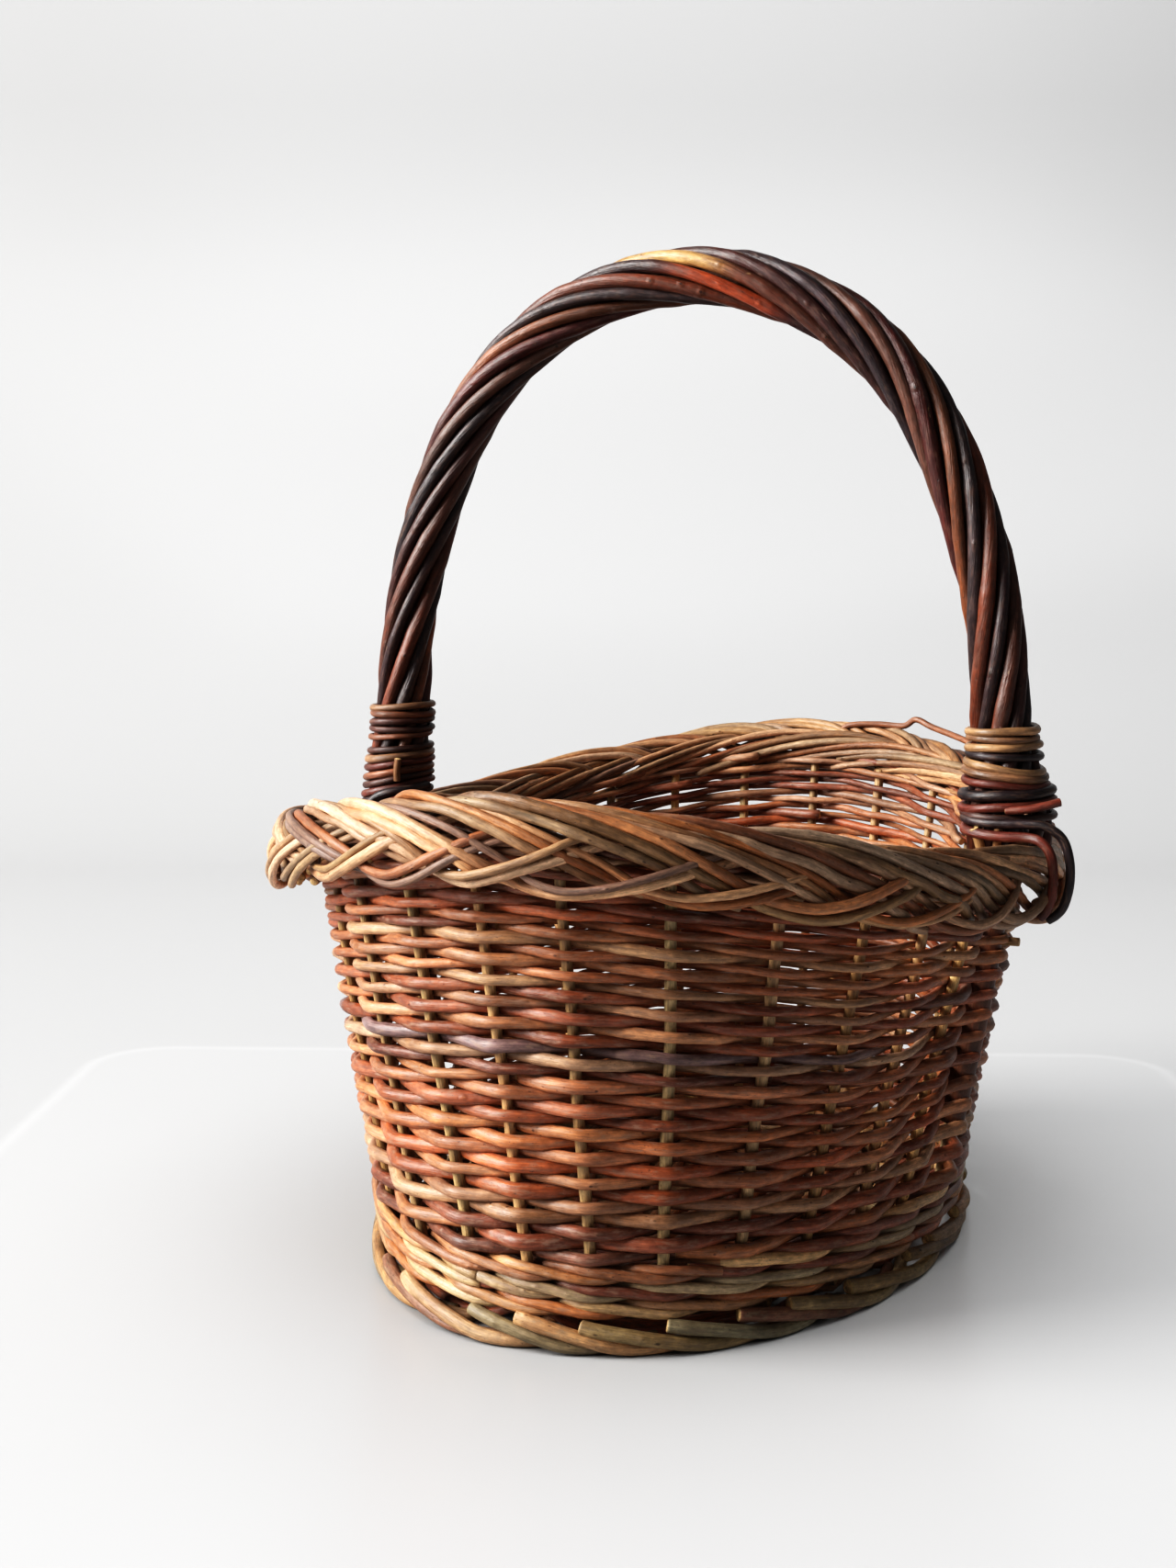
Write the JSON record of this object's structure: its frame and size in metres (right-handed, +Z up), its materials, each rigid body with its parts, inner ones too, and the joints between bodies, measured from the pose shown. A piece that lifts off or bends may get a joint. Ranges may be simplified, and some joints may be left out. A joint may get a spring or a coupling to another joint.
{
  "type": "woven market basket",
  "caption": "Oval woven willow market basket with flared sides, a plaited border and a fixed roped bow handle, for carrying shopping.",
  "frame": {"origin": "centre of the oval footprint, on the surface the basket stands on", "axes": "+Z up, X across the short way of the oval in the plane of the handle, Y along the long way of the oval"},
  "size_m": [0.3526, 0.4395, 0.4412],
  "materials": {
    "willow_base": "dry brown willow sticks and weaving, matt",
    "willow_foot": "thick olive-tan willow, worn underneath",
    "willow_stake": "tan-olive willow, smooth bark",
    "willow_wale": "orange-brown and tan willow, smooth bark",
    "willow_weaver": "red-brown willow with some purple-grey rods, satin bark",
    "willow_border": "pale tan and olive willow with orange-brown rods, satin bark",
    "willow_bow": "dark brown willow",
    "willow_roping": "dark purple-brown to red-brown willow, waxy sheen",
    "willow_binding": "thin willow, tan to near-black, satin"
  },
  "bodies": {
    "root": {"base_cross_stick_1": "willow_base", "base_cross_stick_2": "willow_base", "base_cross_stick_3": "willow_base", "base_cross_stick_4": "willow_base", "base_cross_stick_5": "willow_base", "base_cross_stick_6": "willow_base", "base_cross_stick_7": "willow_base", "base_long_stick_1": "willow_base", "base_long_stick_2": "willow_base", "base_long_stick_3": "willow_base", "base_weave": "willow_base", "border_plait": "willow_border", "foot_border": "willow_foot", "handle_bow": "willow_bow", "handle_peg_left": "willow_stake", "handle_peg_right": "willow_stake", "handle_rod_1": "willow_roping", "handle_rod_2": "willow_roping", "handle_rod_3": "willow_roping", "handle_rod_4": "willow_roping", "handle_rod_5": "willow_roping", "handle_rod_6": "willow_roping", "handle_rod_7": "willow_roping", "handle_rod_8": "willow_roping", "handle_rod_9": "willow_roping", "handle_tail_left_1": "willow_binding", "handle_tail_left_2": "willow_binding", "handle_tail_right_1": "willow_binding", "handle_tail_right_2": "willow_binding", "handle_wrap_left": "willow_binding", "handle_wrap_right": "willow_binding", "side_stakes": "willow_stake", "side_weave": "willow_weaver", "upsett_wale": "willow_wale"}
  },
  "joints": []
}
